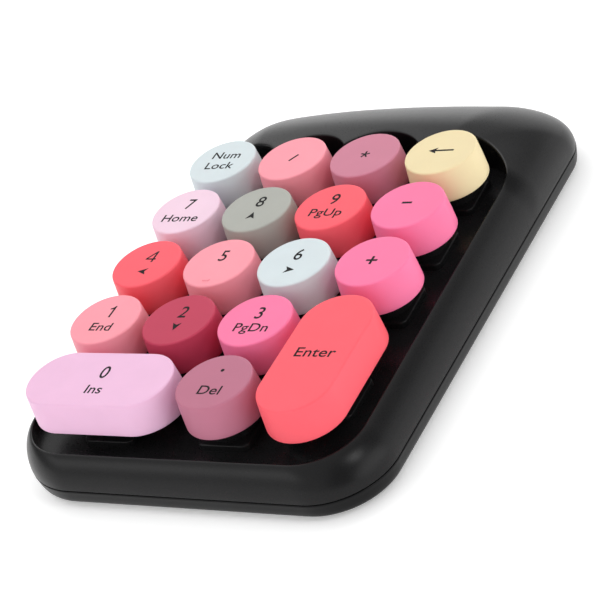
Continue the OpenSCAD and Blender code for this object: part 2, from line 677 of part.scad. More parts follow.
top_case();
key_deck();
bottom_case();
battery_door();
key_0();
key_1();
key_2();
key_3();
key_4();
key_5();
key_6();
key_7();
key_8();
key_9();
key_decimal();
key_enter();
key_plus();
key_minus();
key_multiply();
key_divide();
key_num_lock();
key_backspace();
dome_sheet();
membrane_sheet();
backing_plate();
stabiliser_bar_0();
stabiliser_bar_enter();
circuit_board();
control_chip();
radio_crystal();
board_parts();
tail_clamp();
power_switch_body();
power_switch_lever();
power_switch_knob();
battery_cell();
positive_contact();
negative_contact();
battery_lead();
usb_receiver_body();
usb_receiver_plug();
rubber_feet();
case_screws();
deck_screws();
plate_screws();
board_screws();
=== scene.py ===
import math

import bpy
import bmesh
import numpy as np
from mathutils import Matrix, Vector


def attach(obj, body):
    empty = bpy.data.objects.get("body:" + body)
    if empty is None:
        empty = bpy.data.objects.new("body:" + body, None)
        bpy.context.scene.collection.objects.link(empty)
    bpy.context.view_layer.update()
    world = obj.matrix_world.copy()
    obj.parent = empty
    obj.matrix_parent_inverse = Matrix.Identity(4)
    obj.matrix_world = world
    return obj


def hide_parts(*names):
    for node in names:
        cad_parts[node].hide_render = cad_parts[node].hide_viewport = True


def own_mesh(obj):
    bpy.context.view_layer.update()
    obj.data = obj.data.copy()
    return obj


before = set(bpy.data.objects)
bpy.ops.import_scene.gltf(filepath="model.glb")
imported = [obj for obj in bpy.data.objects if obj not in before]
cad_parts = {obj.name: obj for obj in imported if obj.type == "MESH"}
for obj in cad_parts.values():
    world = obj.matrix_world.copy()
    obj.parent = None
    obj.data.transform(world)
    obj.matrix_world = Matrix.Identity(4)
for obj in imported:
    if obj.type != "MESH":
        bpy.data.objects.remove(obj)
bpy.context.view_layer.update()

MM = 0.001
P = 19.05
XC = 1.5 * P
TH = math.radians(1.25)
C, S = math.cos(TH), math.sin(TH)
SEAM_Z = 5.0
HW, HL, CR = 45.2, 64.9, 15.2
HW_L, R_L, R_BR = 44.4, 18.0, 13.4


def K(p):
    """Key frame, millimetres (x, y along the key plane, h from the key tops) to the row frame."""
    p = np.asarray(p, float)
    x, y, h = p[..., 0], p[..., 1], p[..., 2]
    return np.stack([x - XC, y * C - h * S - 49.9, y * S + h * C + 23.0], -1)


def lin(rgb):
    return tuple(((c / 255) / 12.92 if c / 255 <= 0.04045
                  else ((c / 255 + 0.055) / 1.055) ** 2.4) for c in rgb) + (1.0,)


# ---------------------------------------------------------------- materials
def node(nt, kind, **kw):
    n = nt.nodes.new(kind)
    for k, v in kw.items():
        setattr(n, k, v)
    return n


def finish_mat(name, rgb, rough=0.45, rough_var=0.06, tone_var=0.05, tone_scale=90,
               grain=2600, grain_h=0.000012, ior=1.5, spec=0.5, metallic=0.0,
               coat=0.0, coat_rough=0.1, sss=0.0, stretch=(1, 1, 1), alpha_tint=None,
               bump_strength=0.35, grain2=None, grain2_h=0.0, trans=0.0):
    """Moulded or metal finish: slight tone drift, uneven roughness and a fine grain."""
    m = bpy.data.materials.new(name)
    m.use_nodes = True
    nt = m.node_tree
    b = nt.nodes["Principled BSDF"]
    b.inputs["Metallic"].default_value = metallic
    b.inputs["IOR"].default_value = ior
    b.inputs["Specular IOR Level"].default_value = spec
    b.inputs["Coat Weight"].default_value = coat
    b.inputs["Coat Roughness"].default_value = coat_rough
    b.inputs["Transmission Weight"].default_value = trans
    if sss:
        b.inputs["Subsurface Weight"].default_value = sss
        b.inputs["Subsurface Radius"].default_value = (1.0, 0.6, 0.5)
        b.inputs["Subsurface Scale"].default_value = 0.0008
    tc = node(nt, "ShaderNodeTexCoord")
    mp = node(nt, "ShaderNodeMapping")
    mp.inputs["Scale"].default_value = stretch
    nt.links.new(tc.outputs["Object"], mp.inputs["Vector"])
    # slow tone drift over the surface
    n1 = node(nt, "ShaderNodeTexNoise")
    n1.inputs["Scale"].default_value = tone_scale
    n1.inputs["Detail"].default_value = 4.0
    n1.inputs["Roughness"].default_value = 0.55
    nt.links.new(mp.outputs["Vector"], n1.inputs["Vector"])
    r1 = node(nt, "ShaderNodeMapRange")
    r1.inputs["From Min"].default_value = 0.3
    r1.inputs["From Max"].default_value = 0.7
    nt.links.new(n1.outputs["Fac"], r1.inputs["Value"])
    mix = node(nt, "ShaderNodeMix", data_type="RGBA")
    base = lin(rgb)
    lo = tuple(max(0.0, c * (1 - tone_var)) for c in base[:3]) + (1.0,)
    hi = tuple(min(1.0, c * (1 + tone_var)) for c in base[:3]) + (1.0,)
    mix.inputs[6].default_value = lo
    mix.inputs[7].default_value = hi
    nt.links.new(r1.outputs["Result"], mix.inputs[0])
    nt.links.new(mix.outputs[2], b.inputs["Base Color"])
    # grain
    n2 = node(nt, "ShaderNodeTexNoise")
    n2.inputs["Scale"].default_value = grain
    n2.inputs["Detail"].default_value = 3.0
    n2.inputs["Roughness"].default_value = 0.6
    nt.links.new(mp.outputs["Vector"], n2.inputs["Vector"])
    r2 = node(nt, "ShaderNodeMapRange")
    r2.inputs["From Min"].default_value = 0.25
    r2.inputs["From Max"].default_value = 0.75
    r2.inputs["To Min"].default_value = max(0.02, rough - rough_var)
    r2.inputs["To Max"].default_value = min(1.0, rough + rough_var)
    nt.links.new(n2.outputs["Fac"], r2.inputs["Value"])
    nt.links.new(r2.outputs["Result"], b.inputs["Roughness"])
    bump = node(nt, "ShaderNodeBump")
    bump.inputs["Strength"].default_value = bump_strength
    bump.inputs["Distance"].default_value = grain_h
    nt.links.new(n2.outputs["Fac"], bump.inputs["Height"])
    last = bump
    if grain2:
        n3 = node(nt, "ShaderNodeTexNoise")
        n3.inputs["Scale"].default_value = grain2
        n3.inputs["Detail"].default_value = 2.0
        nt.links.new(mp.outputs["Vector"], n3.inputs["Vector"])
        bump2 = node(nt, "ShaderNodeBump")
        bump2.inputs["Strength"].default_value = bump_strength
        bump2.inputs["Distance"].default_value = grain2_h
        nt.links.new(n3.outputs["Fac"], bump2.inputs["Height"])
        nt.links.new(bump.outputs["Normal"], bump2.inputs["Normal"])
        last = bump2
    nt.links.new(last.outputs["Normal"], b.inputs["Normal"])
    return m


def cap_mat(name, rgb, rough=0.42):
    return finish_mat(name, rgb, rough=rough, rough_var=0.05, tone_var=0.018, tone_scale=160,
                      grain=5200, grain_h=0.000010, spec=0.12, sss=0.06, bump_strength=0.3)


CAP = {
    "cap_lilac": cap_mat("cap_lilac", (236, 190, 220)),
    "cap_red": cap_mat("cap_red", (250, 98, 110)),
    "cap_mauve": cap_mat("cap_mauve", (203, 129, 150)),
    "cap_pink": cap_mat("cap_pink", (250, 157, 170)),
    "cap_rose": cap_mat("cap_rose", (190, 64, 90)),
    "cap_hot_pink": cap_mat("cap_hot_pink", (248, 124, 166)),
    "cap_ice": cap_mat("cap_ice", (212, 222, 225)),
    "cap_grey": cap_mat("cap_grey", (172, 173, 166)),
    "cap_cream": cap_mat("cap_cream", (235, 218, 174)),
}
case_mat = finish_mat("case_black", (14, 14, 15), rough=0.3, rough_var=0.05, tone_var=0.25,
                      tone_scale=60, grain=4200, grain_h=0.000016, spec=0.22, bump_strength=0.35,
                      grain2=900, grain2_h=0.00001)
# painted shade: a darker, less reflective copy of the case black for the lower case and battery cover, so the lower
# band looks shaded by the floor beneath it
case_shaded_copy_mat = finish_mat("case_black_painted_shade", (12, 12, 13), rough=0.34, rough_var=0.05, tone_var=0.25,
                          tone_scale=60, grain=4200, grain_h=0.000016, spec=0.14,
                          bump_strength=0.35, grain2=900, grain2_h=0.00001)
inner_mat = finish_mat("case_black_inside", (14, 14, 15), rough=0.5, tone_var=0.3, grain=2400,
                       grain_h=0.00003)
deck_mat = finish_mat("deck_black", (24, 24, 25), rough=0.3, rough_var=0.06, tone_var=0.3,
                      tone_scale=70, grain=3000, grain_h=0.000008, spec=0.16, bump_strength=0.3)
legend_mat = finish_mat("legend_ink", (13, 12, 14), rough=0.55, tone_var=0.2, tone_scale=400,
                        grain=6000, grain_h=0.000004, spec=0.15)
silicone_mat = finish_mat("silicone", (226, 226, 220), rough=0.55, tone_var=0.03, tone_scale=60,
                          grain=1800, grain_h=0.00001, sss=0.3)
film_mat = finish_mat("film", (150, 176, 160), rough=0.25, tone_var=0.12, tone_scale=35,
                      grain=900, grain_h=0.000004, stretch=(1, 3, 1))
sheet_mat = finish_mat("sheet_steel", (186, 190, 196), rough=0.32, rough_var=0.1, tone_var=0.08,
                       tone_scale=50, grain=900, grain_h=0.000006, metallic=1.0, stretch=(1, 14, 1))
spring_mat = finish_mat("spring_steel", (196, 198, 202), rough=0.22, rough_var=0.08, tone_var=0.1,
                        tone_scale=200, grain=3000, grain_h=0.000004, metallic=1.0, stretch=(8, 1, 1))
screw_mat = finish_mat("screw_steel", (120, 122, 128), rough=0.3, rough_var=0.1, tone_var=0.12,
                       tone_scale=700, grain=5000, grain_h=0.000006, metallic=1.0)
foot_mat = finish_mat("foot_rubber", (28, 28, 29), rough=0.75, tone_var=0.2, tone_scale=300,
                      grain=2400, grain_h=0.00004, spec=0.35, grain2=700, grain2_h=0.00003)
chip_mat = finish_mat("chip_black", (24, 24, 26), rough=0.5, tone_var=0.15, tone_scale=900,
                      grain=7000, grain_h=0.000012)
smd_mat = finish_mat("smd", (176, 156, 118), rough=0.4, tone_var=0.22, tone_scale=1500,
                     grain=5000, grain_h=0.000006)
switch_mat = finish_mat("switch_grey", (168, 170, 174), rough=0.42, tone_var=0.06, tone_scale=300,
                        grain=3600, grain_h=0.00001)
knob_mat = finish_mat("knob_grey", (52, 52, 55), rough=0.45, tone_var=0.1, tone_scale=500,
                      grain=3600, grain_h=0.000012)
print_mat = finish_mat("print_grey", (150, 150, 152), rough=0.5, tone_var=0.1, tone_scale=600,
                       grain=5200, grain_h=0.000003)


def laminate():
    m = finish_mat("laminate", (22, 82, 44), rough=0.3, tone_var=0.1, tone_scale=250, grain=3000,
                   grain_h=0.00001, coat=0.3)
    nt = m.node_tree
    b = nt.nodes["Principled BSDF"]
    tc = nt.nodes["Texture Coordinate"]
    w = node(nt, "ShaderNodeTexBrick")
    w.inputs["Scale"].default_value = 330.0
    w.inputs["Mortar Size"].default_value = 0.012
    w.inputs["Color1"].default_value = lin((22, 84, 46))
    w.inputs["Color2"].default_value = lin((18, 72, 38))
    w.inputs["Mortar"].default_value = lin((62, 128, 74))
    nt.links.new(tc.outputs["Object"], w.inputs["Vector"])
    nt.links.new(w.outputs["Color"], b.inputs["Base Color"])
    return m


def sleeve():
    """Printed cell sleeve: two tones that meet along the length."""
    m = finish_mat("cell_sleeve", (42, 74, 128), rough=0.24, tone_var=0.06, tone_scale=120,
                   grain=1500, grain_h=0.000005, coat=0.4)
    nt = m.node_tree
    b = nt.nodes["Principled BSDF"]
    tc = nt.nodes["Texture Coordinate"]
    sep = node(nt, "ShaderNodeSeparateXYZ")
    nt.links.new(tc.outputs["Object"], sep.inputs["Vector"])
    ramp = node(nt, "ShaderNodeMapRange")
    ramp.inputs["From Min"].default_value = 0.0045
    ramp.inputs["From Max"].default_value = 0.0048
    nt.links.new(sep.outputs["X"], ramp.inputs["Value"])
    tip = node(nt, "ShaderNodeMapRange")
    tip.inputs["From Min"].default_value = 0.0150
    tip.inputs["From Max"].default_value = 0.0152
    nt.links.new(sep.outputs["X"], tip.inputs["Value"])
    mx = node(nt, "ShaderNodeMix", data_type="RGBA")
    mx.inputs[6].default_value = lin((42, 74, 128))
    mx.inputs[7].default_value = lin((196, 160, 84))
    nt.links.new(ramp.outputs["Result"], mx.inputs[0])
    my = node(nt, "ShaderNodeMix", data_type="RGBA")
    nt.links.new(mx.outputs[2], my.inputs[6])
    my.inputs[7].default_value = lin((196, 198, 202))
    nt.links.new(tip.outputs["Result"], my.inputs[0])
    nt.links.new(my.outputs[2], b.inputs["Base Color"])
    return m


laminate_mat = laminate()
sleeve_mat = sleeve()


# ---------------------------------------------------------------- mesh tools
def at(ring, z):
    ring = np.asarray(ring, float)
    return np.column_stack([ring, np.full(len(ring), z)])


def rrect(x0, x1, y0, y1, r, n=12):
    r = max(r, 1e-4)
    out = []
    for cx, cy, a0 in ((x1 - r, y1 - r, 0), (x0 + r, y1 - r, 90),
                       (x0 + r, y0 + r, 180), (x1 - r, y0 + r, 270)):
        for i in range(n + 1):
            a = math.radians(a0 + 90.0 * i / n)
            out.append((cx + r * math.cos(a), cy + r * math.sin(a)))
    return np.array(out)


def circle(cx, cy, r, n=96):
    a = np.arange(n) * 2 * math.pi / n
    return np.column_stack([cx + r * np.cos(a), cy + r * np.sin(a)])


def loft(rings, cap0=True, cap1=True, loop=False):
    n = len(rings[0])
    v = np.concatenate(rings)
    m = len(rings)
    f = []
    for j in range(m if loop else m - 1):
        a, b = j * n, ((j + 1) % m) * n
        for i in range(n):
            k = (i + 1) % n
            f.append((a + i, a + k, b + k, b + i))
    if not loop:
        if cap0:
            f.append(tuple(range(n - 1, -1, -1)))
        if cap1:
            f.append(tuple(range((m - 1) * n, m * n)))
    return v, f


def join(*parts):
    vs, fs, o = [], [], 0
    for v, f in parts:
        vs.append(np.asarray(v, float))
        fs += [tuple(i + o for i in face) for face in f]
        o += len(v)
    return np.concatenate(vs), fs


def move(part, fn):
    return fn(part[0]), part[1]


def rbox(x0, x1, y0, y1, z0, z1, r=0.4, f=0.12, fb=None, n=5, nf=3):
    """Box with round upright edges and filleted top and bottom edges."""
    fb = f if fb is None else fb
    rings = []
    for i in range(nf + 1):
        a = math.pi / 2 * i / nf
        d = fb * (1 - math.sin(a))
        rings.append(at(rrect(x0 + d, x1 - d, y0 + d, y1 - d, max(r - d, 0.01), n),
                        z0 + fb * (1 - math.cos(a))))
    for i in range(nf + 1):
        a = math.pi / 2 * i / nf
        d = f * (1 - math.cos(a))
        rings.append(at(rrect(x0 + d, x1 - d, y0 + d, y1 - d, max(r - d, 0.01), n),
                        z1 - f * (1 - math.sin(a))))
    return loft(rings)


def tube_shell(cx, cy, r_out, r_in, z0, z1, n=48, f=0.1):
    prof = [(r_in, z0), (r_out - f, z0), (r_out, z0 + f), (r_out, z1 - f), (r_out - f, z1),
            (r_in, z1)]
    return loft([at(circle(cx, cy, r, n), z) for r, z in prof], loop=True)


def to_mesh(name, part, recalc=True):
    me = bpy.data.meshes.new(name)
    v, f = part
    me.from_pydata((np.asarray(v) * MM).tolist(), [], f)
    me.update()
    if recalc:
        bm = bmesh.new()
        bm.from_mesh(me)
        bmesh.ops.recalc_face_normals(bm, faces=bm.faces)
        bm.to_mesh(me)
        bm.free()
    return me


def piece(name, part, mat, body, replaces=(), sharp=32, mesh=None):
    me = mesh or to_mesh(name, part)
    me.materials.clear()
    me.materials.append(mat)
    me.shade_smooth()
    me.set_sharp_from_angle(angle=math.radians(sharp))
    o = bpy.data.objects.new(name, me)
    bpy.context.scene.collection.objects.link(o)
    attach(o, body)
    if replaces:
        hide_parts(*replaces)
    return o


def cut(name, part, cutters, op="DIFFERENCE"):
    """Boolean of one closed shell with others, as mesh data in metres."""
    a = bpy.data.objects.new(name + "_a", to_mesh(name + "_a", part))
    b = bpy.data.objects.new(name + "_b", to_mesh(name + "_b", join(*cutters)))
    for o in (a, b):
        bpy.context.scene.collection.objects.link(o)
    md = a.modifiers.new("cut", "BOOLEAN")
    md.operation = op
    md.object = b
    md.solver = "EXACT"
    bpy.context.view_layer.update()
    dg = bpy.context.evaluated_depsgraph_get()
    me = bpy.data.meshes.new_from_object(a.evaluated_get(dg))
    me.name = name
    for o in (a, b):
        bpy.data.objects.remove(o)
    bm = bmesh.new()
    bm.from_mesh(me)
    bmesh.ops.remove_doubles(bm, verts=bm.verts, dist=1e-7)
    bmesh.ops.dissolve_degenerate(bm, edges=bm.edges, dist=1e-7)
    bm.to_mesh(me)
    bm.free()
    return me


def add_shells(me, part):
    """Joins more closed shells (millimetres) to a mesh in metres."""
    bm = bmesh.new()
    bm.from_mesh(me)
    extra = to_mesh(me.name + "_x", part)
    bm.from_mesh(extra)
    bm.to_mesh(me)
    bm.free()
    bpy.data.meshes.remove(extra)
    return me


# ---------------------------------------------------------------- camera
f_px = 2045.0
cam_data = bpy.data.cameras.new("camera")
cam_data.sensor_fit = "HORIZONTAL"
cam_data.sensor_width = 36.0
cam_data.lens = f_px * 36.0 / 600.0
cam_data.clip_start, cam_data.clip_end = 0.02, 20.0
cam = bpy.data.objects.new("camera", cam_data)
bpy.context.scene.collection.objects.link(cam)
right = Vector((0.8466, 0.4188, -0.3285)).normalized()
back = Vector((0.5322, -0.6667, 0.5217)).normalized()
up = back.cross(right).normalized()
right = up.cross(back).normalized()
rot = Matrix((right, up, back)).transposed()
cam.matrix_world = Matrix.Translation(Vector((238.53, -301.60, 240.37)) * MM) @ rot.to_4x4()
bpy.context.scene.camera = cam

# ---------------------------------------------------------------- top case
well_x0, well_x1, well_y0 = -11.4, 68.55, -11.6
y_front, y_back = -15.39, 114.38


def seam_h(y):
    return (SEAM_Z - 23.0 - y * S) / C


def well_outline():
    r = 12.1
    segs = []

    def line(a, b):
        n = max(2, int(math.dist(a, b) / 0.05))
        t = np.arange(n)[:, None] / n
        segs.append(np.array(a) * (1 - t) + np.array(b) * t)

    def arc(cx, cy, rr, a0, a1):
        n = max(2, int(abs(math.radians(a1 - a0)) * rr / 0.05))
        a = np.radians(a0 + (a1 - a0) * np.arange(n) / n)
        segs.append(np.column_stack([cx + rr * np.cos(a), cy + rr * np.sin(a)]))

    line((well_x0 + r, well_y0), (well_x1 - r, well_y0))
    arc(well_x1 - r, well_y0 + r, r, -90, 0)
    side = math.degrees(math.acos(11.4 / 12.0))
    mid = math.degrees(math.acos(P / 2 / 12.0))
    y_top = 4 * P + 12.0 * math.sin(math.radians(side))
    line((well_x1, well_y0 + r), (well_x1, y_top))
    for c in (3, 2, 1, 0):
        arc(c * P, 4 * P, 12.0, side if c == 3 else mid, 180 - (side if c == 0 else mid))
    line((well_x0, y_top), (well_x0, well_y0 + r))
    arc(well_x0 + r, well_y0 + r, r, 180, 270)
    p = np.concatenate(segs)
    # round off the points between the scallops
    k = np.exp(-0.5 * (np.arange(-30, 31) * 0.05 / 0.34) ** 2)
    k /= k.sum()
    out = np.zeros_like(p)
    for i, w in enumerate(k):
        out += w * np.roll(p, i - 30, axis=0)
    return out


def seam_sdf(x, y):
    """Distance to the seam's outline; each corner has its own radius."""
    mid = (y_back + y_front) / 2
    right = x > XC
    r = np.where(right, np.where(y > mid, R_BR, CR), R_L)
    hw = np.where(right, HW, HW_L)
    qx = np.abs(x - XC) - (hw - r)
    qy = np.abs(y - mid) - ((y_back - y_front) / 2 - r)
    return np.hypot(np.maximum(qx, 0), np.maximum(qy, 0)) + np.minimum(np.maximum(qx, qy), 0) - r


def smooth01(t):
    t = np.clip(t, 0, 1)
    return t * t * t * (t * (6 * t - 15) + 10)


def case_height(x, y, v, xo, yo):
    """Height of the upper case's skin at plan point (x, y), a share v of the way out to the seam at (xo, yo)."""
    hs = seam_h(yo)
    drop = -10.3 - hs
    body = -10.3 - drop * (1 - np.maximum(0, 1 - v ** 1.252) ** (1 / 2.005))

    def u_of(px, py):
        ux = np.maximum(0, (np.abs(px - XC) - 26.15) / (np.where(px > XC, HW, HW_L) - 26.15))
        uy = np.maximum(0, (py - 89.75) / (y_back - 89.75))
        n = 3.2
        s = ux ** n + uy ** n
        return s ** (1 / n), ux ** n / np.maximum(s, 1e-9)

    u, wx = u_of(x, y)
    uo, _ = u_of(xo, yo)
    u = np.clip(u / np.maximum(uo, 1e-6), 0, 1)
    p = 1.948 - 0.438 * wx
    q = 0.644 - 0.3 * wx
    dx = (x - XC) / HW
    top = -2.006 - 5.453 * np.maximum(0, -dx) ** 2.095 - 4.0 * np.maximum(0, dx) ** 2.095
    hump = top - (top - hs) * (1 - np.maximum(0, 1 - u ** p) ** q)
    d = 0.8 * (1 - v)
    over = 0.5 * (body + hump + np.sqrt((hump - body) ** 2 + d ** 2))
    return body + (over - body) * smooth01((y - 75.0) / 7.5)


def build_top_case():
    I = well_outline()
    n = len(I)
    tang = np.roll(I, -1, 0) - np.roll(I, 1, 0)
    tang /= np.linalg.norm(tang, axis=1)[:, None]
    N = np.column_stack([tang[:, 1], -tang[:, 0]])          # away from the well
    # spokes: square to the sides and front, fanned round the corners
    vx = np.clip(I[:, 0], XC - 21.4, XC + 21.4)
    vy = np.minimum(I[:, 1], 4 * P)
    dirs = I - np.column_stack([vx, vy])
    front = I[:, 1] < 0.5
    fx = np.clip(I[:, 0], well_x0 + 12.1, well_x1 - 12.1)
    dirs[front] = (I - np.column_stack([fx, np.full(n, 0.5)]))[front]
    dirs /= np.linalg.norm(dirs, axis=1)[:, None]
    lo, hi = np.zeros(n), np.full(n, 60.0)
    for _ in range(50):
        m = (lo + hi) / 2
        inside = seam_sdf(I[:, 0] + dirs[:, 0] * m, I[:, 1] + dirs[:, 1] * m) < 0
        lo, hi = np.where(inside, m, lo), np.where(inside, hi, m)
    O = I + dirs * lo[:, None]
    # stations
    dI = np.linalg.norm(np.roll(I, -1, 0) - I, axis=1)
    dO = np.linalg.norm(np.roll(O, -1, 0) - O, axis=1)
    ang = np.unwrap(np.arctan2(tang[:, 1], tang[:, 0]))
    dA = np.abs(np.append(np.diff(ang), 0))
    cum = np.concatenate([[0], np.cumsum(0.4 * dI + 0.4 * dO + 1.6 * dA)])
    count = 760
    idx = np.searchsorted(cum, np.arange(count) * cum[-1] / count)
    idx = np.clip(idx, 0, n - 1)
    I, O, N, D = I[idx], O[idx], N[idx], dirs[idx]
    L = np.linalg.norm(O - I, axis=1)
    rim_r = 0.38
    rim_h = case_height(I[:, 0], I[:, 1], np.zeros(count), O[:, 0], O[:, 1])
    I2 = I + N * rim_r
    rings = []

    def add(xy, h):
        rings.append(K(np.column_stack([xy, h])))

    # outer skin from the rim's edge to the seam
    ts = np.radians(np.linspace(0, 90, 44))
    for t in ts:
        v = math.sin(t)
        xy = I2 + (O - I2) * v
        h = case_height(xy[:, 0], xy[:, 1], v, O[:, 0], O[:, 1])
        if v > 0.9999:
            rings.append(K(np.column_stack([xy, h])) + np.array([0, 0, 0.3]))
        else:
            hh = np.maximum(h, seam_h(O[:, 1]) + 0.32)
            add(xy, hh)
    # seam edge, rounded
    seam_row = K(np.column_stack([O, seam_h(O[:, 1])]))
    cen = np.array([0.0, 0.0])
    outn = np.column_stack([D, np.zeros(count)])
    for inset, z in ((0.07, SEAM_Z + 0.14), (0.22, SEAM_Z + 0.06), (0.5, SEAM_Z + 0.05),
                     (1.95, SEAM_Z + 0.05)):
        p = seam_row - outn * inset
        p[:, 2] = z
        rings.append(p)
    # inner skin
    Oi = O - D * 1.95
    Ii = I + D * np.minimum(1.7, L * 0.4)[:, None]
    for v in (0.97, 0.9, 0.8, 0.68, 0.55, 0.4, 0.25, 0.12, 0.0):
        xy = Ii + (Oi - Ii) * v
        vv = np.clip(np.linalg.norm(xy - I, axis=1) / L, 0, 1)
        h = case_height(xy[:, 0], xy[:, 1], vv, O[:, 0], O[:, 1]) - 1.9
        h = np.maximum(h, seam_h(O[:, 1]) + 0.4)
        h = np.maximum(h, -12.6) if v == 0.0 else h
        add(xy, h)
    add(Ii, np.full(count, -12.98))
    add(I, np.full(count, -12.98))
    # well wall and the small round on the rim
    add(I, np.full(count, -12.0))
    add(I, rim_h - rim_r - 0.5)
    for a in (0, 18, 36, 54, 72):
        a = math.radians(a)
        add(I + N * rim_r * (1 - math.cos(a)), rim_h - rim_r * (1 - math.sin(a)))
    part = loft(rings, loop=True)
    posts = []
    for cx in (0.5, 1.5, 2.5):
        posts.append(move(tube_shell(cx * P, 88, 2.6, 0.95, -12.99, -5.2), K))
    for cx, cy, top in ((-38, 47, 14.0), (39.3, 43.4, 14.0)):
        posts.append(tube_shell(cx, cy, 2.5, 1.1, 2.95, top))
    o = piece("upper_case", join(part, *posts), case_mat, "housing",
              ("top_case",), sharp=40)
    return o


build_top_case()

# ---------------------------------------------------------------- lower case
door_x0, door_x1, door_y0, door_y1 = -32.2, 35.3, 42.8, 61.0
case_spots = [(0.5, 0.5), (2.5, 0.5), (0.5, 3.5), (2.5, 3.5)]
plate_spots = [(1.5, 0.5), (0.5, 1.5), (1.5, 1.5), (2.5, 1.5), (0.5, 2.5), (1.5, 2.5),
               (2.5, 2.5), (1.5, 3.5)]


def screw_xy(s, h=-20.0):
    p = K([s[0] * P, s[1] * P, h])
    return float(p[0]), float(p[1])


def case_ring(d, n=24):
    """The seam's outline in the row frame, moved inward by d."""
    out = []
    for cx, cy, a0, hw, r0 in ((1, 1, 0, HW, R_BR), (-1, 1, 90, HW_L, R_L),
                               (-1, -1, 180, HW_L, R_L), (1, -1, 270, HW, CR)):
        for i in range(n + 1):
            a = math.radians(a0 + 90.0 * i / n)
            out.append((cx * (hw - r0) + (r0 - d) * math.cos(a),
                        cy * (HL - r0) + (r0 - d) * math.sin(a)))
    return np.array(out)


def build_bottom_case():
    prof = [(2.6, 1.0), (1.9, 1.0), (1.5, 1.06), (1.12, 1.24), (0.8, 1.55), (0.58, 1.95),
            (0.38, 2.6), (0.2, 3.5), (0.06, 4.45), (0.0, 4.7), (0.03, 4.82), (0.11, 4.9),
            (0.26, 4.94), (2.2, 4.94), (2.25, 6.0), (2.35, 6.1), (3.0, 6.1), (3.1, 6.0),
            (3.1, 3.1), (3.3, 2.85), (3.6, 2.8)]
    rings = [at(case_ring(d), z) for d, z in prof]
    shell = loft(rings)
    cutters = [loft([at(rrect(door_x0, door_x1, door_y0, door_y1, 2.0, 8), z)
                     for z in (0.0, 4.0)])]
    for fx, fy in ((-36, -54), (36, -54), (-36, 33), (36, 33)):
        cutters.append(loft([at(circle(fx, fy, r, 64), z)
                             for r, z in ((4.85, 0.0), (4.85, 1.02), (4.58, 1.25), (4.55, 1.6))]))
    for s in case_spots:
        x, y = screw_xy(s)
        cutters.append(loft([at(circle(x, y, r, 40), z)
                             for r, z in ((2.75, 0.0), (2.75, 1.01), (2.35, 1.25), (2.3, 1.9),
                                          (2.3, 2.05), (1.3, 2.06), (1.3, 4.0))]))
    for x, y in ((-38, 47), (39.3, 43.4)):
        cutters.append(loft([at(circle(x, y, r, 40), z)
                             for r, z in ((2.6, 0.0), (2.6, 1.01), (2.32, 1.2), (2.3, 1.9),
                                          (1.3, 1.91), (1.3, 4.0))]))
    # switch recess and slot
    cutters.append(loft([at(rrect(35.9, 40.1, 47.3, 53.7, 0.6, 5), z) for z in (0.0, 1.8)]))
    # plain plate area
    cutters.append(loft([at(rrect(-24, 24, -14, 8, 1.5, 8), z) for z in (0.0, 1.25)]))
    me = cut("lower_case", shell, cutters)
    extra = []
    bx0, bx1, by0, by1 = -32.7, 18.3, 42.3, 54.9
    extra += [rbox(bx0, bx1, by0, by0 + 0.9, 2.75, 15.2, 0.2, 0.1),
              rbox(bx0, bx1, by1 - 0.9, by1, 2.75, 15.2, 0.2, 0.1),
              rbox(bx0, bx0 + 1.0, by0 + 0.2, by1 - 0.2, 2.75, 12.6, 0.2, 0.1),
              rbox(bx1 - 1.0, bx1, by0 + 0.2, by1 - 0.2, 2.75, 12.6, 0.2, 0.1),
              rbox(bx0 + 2.0, bx1 - 2.0, by0 + 0.2, by1 - 0.2, 14.2, 15.15, 0.2, 0.1)]
    px0, px1 = 20.2, 34.8
    extra += [rbox(px0 - 0.8, px1 + 0.8, 41.8, 42.8, 2.75, 10.95, 0.2, 0.1),
              rbox(px0 - 0.8, px1 - 0.8, 61.0, 61.6, 2.75, 7.4, 0.2, 0.1),
              rbox(px0 - 0.85, px1 + 0.85, 41.9, 56.7, 9.85, 10.97, 0.2, 0.1),
              rbox(px0 - 0.85, px1 + 0.85, 56.0, 60.0, 8.8, 9.37, 0.2, 0.1)]
    for y1, z1 in ((56.75, 10.95), (60.05, 9.35), (61.5, 7.45)):
        extra += [rbox(px0 - 0.9, px0, 41.9, y1, 2.75, z1, 0.2, 0.1),
                  rbox(px1, px1 + 0.9, 41.9, min(y1, 60.3), 2.75, z1, 0.2, 0.1)]
    extra += [rbox(bx0 + 0.1, px0 - 0.5, by1 - 0.8, 61.8, 2.79, 3.79, 0.3, 0.1),
              rbox(bx1 - 0.8, px0 - 0.5, 42.4, 60.2, 2.80, 3.78, 0.2, 0.1)]
    for s in case_spots:
        x, y = screw_xy(s)
        top = float(K([s[0] * P, s[1] * P, -19.1])[2])
        extra.append(tube_shell(x, y, 2.6, 1.3, 2.3, top - 0.02))
    add_shells(me, join(*extra))
    # the lower case takes the darker painted-shade copy of the case black
    o = piece("lower_case", None, case_shaded_copy_mat, "housing", ("bottom_case",),
              sharp=38, mesh=me)
    return o


build_bottom_case()


def build_door():
    shell = rbox(door_x0 + 0.15, door_x1 - 0.15, door_y0 + 0.15, door_y1 - 0.15, 1.0, 2.6,
                 1.85, 0.1, 0.22, n=8, nf=4)
    cutters = [rbox(-4, 8, door_y0 + 2 + i * 1.6, door_y0 + 2.8 + i * 1.6, 0.4, 1.38, 0.38, 0.15)
               for i in range(3)]
    # arrow that shows which way the door comes off
    tri = np.array([(-0.9, 59.3), (0.0, 58.2), (0.9, 59.3)]) + np.array([2.0, -0.4])
    cutters.append(loft([at(tri, 0.6), at(tri, 1.2)]))
    me = cut("battery_cover", shell, cutters)
    add_shells(me, join(*[rbox(door_x0 + 8, door_x0 + 42, y, y + 0.8, 2.5, 3.3, 0.3, 0.15)
                          for y in (45.2, 51.4)]))
    piece("battery_cover", None, case_shaded_copy_mat, "battery_door", ("battery_door",),
          mesh=me)


build_door()


